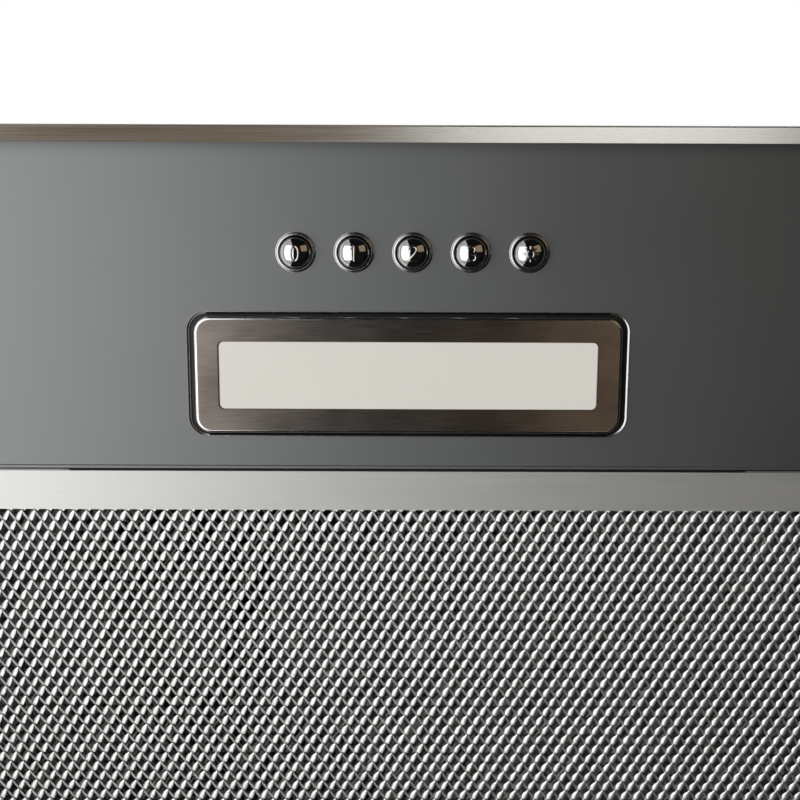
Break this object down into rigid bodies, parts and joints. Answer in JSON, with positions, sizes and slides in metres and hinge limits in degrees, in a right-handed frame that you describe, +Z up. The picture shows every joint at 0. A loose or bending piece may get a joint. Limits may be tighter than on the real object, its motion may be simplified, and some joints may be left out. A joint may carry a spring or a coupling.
{
  "type": "range hood insert",
  "caption": "Cabinet range hood insert: steel housing with blower and round duct spigot on top; underside face with push buttons, lamp and a hinged aluminium mesh grease filter.",
  "frame": {"origin": "centre of the underside, at the level of the rim's lowest edge", "axes": "+Z up, -Y towards the cook (front edge with the buttons), +X to the right seen from the front"},
  "size_m": [0.52, 0.29, 0.204],
  "materials": {
    "brushed_rim": "brushed",
    "smooth_face": "smooth semi-gloss",
    "galvanised_housing": "galvanised",
    "chrome_cap": "polished",
    "spring_steel": "drawn wire",
    "black_moulding": "moulded",
    "grey_moulding": "moulded",
    "white_moulding": "moulded",
    "opal_window": "opal",
    "brushed_bezel": "brushed",
    "circuit_board": "solder mask",
    "aluminium_frame": "matte",
    "aluminium_mesh": "expanded",
    "motor_steel": "laminated",
    "copper_wire": "enamelled",
    "cast_bell": "cast",
    "bearing_steel": "ground",
    "rubber_washer": "moulded",
    "zinc_screw": "zinc plated",
    "pvc_lead": "extruded"
  },
  "bodies": {
    "hood": {"rim_frame": "brushed_rim", "face_panel": "smooth_face", "housing_shell": "galvanised_housing", "control_cover": "galvanised_housing", "cabinet_clips": "spring_steel", "housing_top": "galvanised_housing", "switch_body": "black_moulding", "switch_bracket": "galvanised_housing", "lamp_bezel": "brushed_bezel", "lamp_diffuser": "opal_window", "lamp_body": "black_moulding", "lamp_led_board": "circuit_board", "lamp_clips": "spring_steel", "led_driver": "white_moulding", "filter_keeper": "spring_steel", "scroll_wrap": "galvanised_housing", "scroll_side_left": "galvanised_housing", "scroll_side_right": "galvanised_housing", "motor_stator": "motor_steel", "motor_windings": "copper_wire", "motor_end_bell_inner": "cast_bell", "motor_end_bell_outer": "cast_bell", "motor_bearings": "bearing_steel", "motor_bracket": "galvanised_housing", "motor_grommets": "rubber_washer", "motor_screws": "zinc_screw", "outlet_collar": "black_moulding", "damper_pin": "bearing_steel", "terminal_box": "galvanised_housing", "terminal_lid": "galvanised_housing", "terminal_block": "white_moulding", "capacitor": "white_moulding", "capacitor_clip": "galvanised_housing", "cable_gland": "black_moulding", "wiring_loom": "pvc_lead", "case_screws": "zinc_screw", "button_off_spring": "spring_steel", "button_speed_1_spring": "spring_steel", "button_speed_2_spring": "spring_steel", "button_speed_3_spring": "spring_steel", "button_light_spring": "spring_steel"},
    "wheel": {"impeller_disc": "galvanised_housing", "impeller_rings": "galvanised_housing", "impeller_blades": "galvanised_housing", "motor_shaft": "bearing_steel", "motor_rotor": "motor_steel"},
    "left_flap": {"damper_flap_left": "black_moulding"},
    "right_flap": {"damper_flap_right": "black_moulding"},
    "filter": {"filter_frame": "aluminium_frame", "filter_front_mesh": "aluminium_mesh", "filter_core_mesh": "aluminium_mesh", "filter_back_mesh": "aluminium_mesh", "latch_housing": "grey_moulding", "latch_spring": "spring_steel"},
    "latch": {"filter_latch": "grey_moulding"},
    "cap_off": {"button_off": "chrome_cap"},
    "cap_speed_1": {"button_speed_1": "chrome_cap"},
    "cap_speed_2": {"button_speed_2": "chrome_cap"},
    "cap_speed_3": {"button_speed_3": "chrome_cap"},
    "cap_light": {"button_light": "chrome_cap"}
  },
  "joints": [
    {"name": "button_off_press", "type": "slide", "parent": "hood", "child": "cap_off", "axis": [0, 0, 1], "range_m": [0, 0.0035], "stiffness_N_per_m": 400, "springref_m": -0.003, "deforming": ["button_off_spring"]},
    {"name": "button_speed_1_press", "type": "slide", "parent": "hood", "child": "cap_speed_1", "axis": [0, 0, 1], "range_m": [0, 0.0035], "stiffness_N_per_m": 400, "springref_m": -0.003, "deforming": ["button_speed_1_spring"]},
    {"name": "button_speed_2_press", "type": "slide", "parent": "hood", "child": "cap_speed_2", "axis": [0, 0, 1], "range_m": [0, 0.0035], "stiffness_N_per_m": 400, "springref_m": -0.003, "deforming": ["button_speed_2_spring"]},
    {"name": "button_speed_3_press", "type": "slide", "parent": "hood", "child": "cap_speed_3", "axis": [0, 0, 1], "range_m": [0, 0.0035], "stiffness_N_per_m": 400, "springref_m": -0.003, "deforming": ["button_speed_3_spring"]},
    {"name": "button_light_press", "type": "slide", "parent": "hood", "child": "cap_light", "axis": [0, 0, 1], "range_m": [0, 0.0035], "stiffness_N_per_m": 400, "springref_m": -0.003, "deforming": ["button_light_spring"]},
    {"name": "fan_spin", "type": "hinge", "parent": "hood", "child": "wheel", "pos_m": [0, 0.05, 0.098], "axis": [1, 0, 0], "continuous": true},
    {"name": "left_flap_swing", "type": "hinge", "parent": "hood", "child": "left_flap", "pos_m": [0, -0.0115, 0.1856], "axis": [0, 1, 0], "range_deg": [0, 78]},
    {"name": "right_flap_swing", "type": "hinge", "parent": "hood", "child": "right_flap", "pos_m": [0, -0.0115, 0.1856], "axis": [0, -1, 0], "range_deg": [0, 78]},
    {"name": "filter_swing", "type": "hinge", "parent": "hood", "child": "filter", "pos_m": [0, -0.0369, 0.0058], "axis": [-1, 0, 0], "range_deg": [0, 60], "deforming": ["filter_keeper"]},
    {"name": "latch_slide", "type": "slide", "parent": "filter", "child": "latch", "axis": [0, -1, 0], "range_m": [0, 0.006], "stiffness_N_per_m": 250, "springref_m": -0.003, "deforming": ["latch_spring"]}
  ]
}
